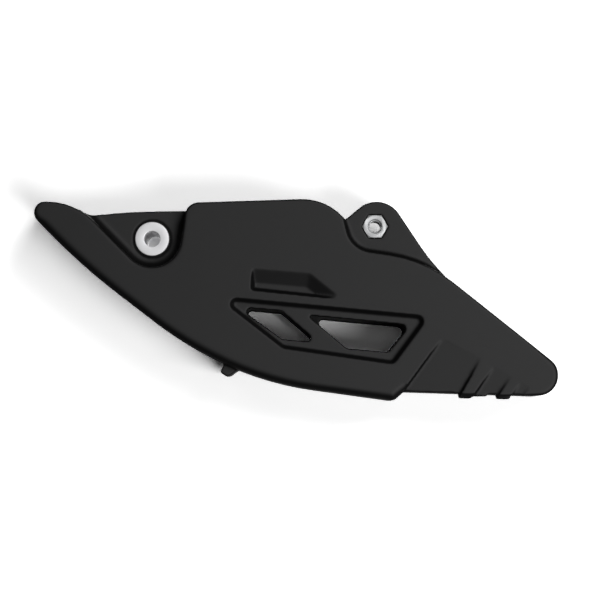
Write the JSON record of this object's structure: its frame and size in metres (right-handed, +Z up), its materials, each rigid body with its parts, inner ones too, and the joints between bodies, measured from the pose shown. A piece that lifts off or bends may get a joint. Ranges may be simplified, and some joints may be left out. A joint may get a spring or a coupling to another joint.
{
  "type": "motorcycle chain guide",
  "caption": "Moulded guide that holds a motorcycle's rear chain in line with its sprocket, with a chain slot, side windows, a bolt sleeve and a captive nut.",
  "frame": {"origin": "on the axis of the front bolt, half way across the width of the guide", "axes": "+X along the guide from its nose towards its tail, +Y across it from the cheek with the windows' panel to the plain cheek, +Z up as it is fitted under the swingarm"},
  "size_m": [0.2351, 0.045, 0.0903],
  "materials": {
    "body": "fine moulded grain, satin",
    "collar": "turned, matt",
    "nut": "zinc plated"
  },
  "bodies": {
    "root": {"guide_body": "body", "front_collar": "collar", "rear_nut": "nut"}
  },
  "joints": []
}
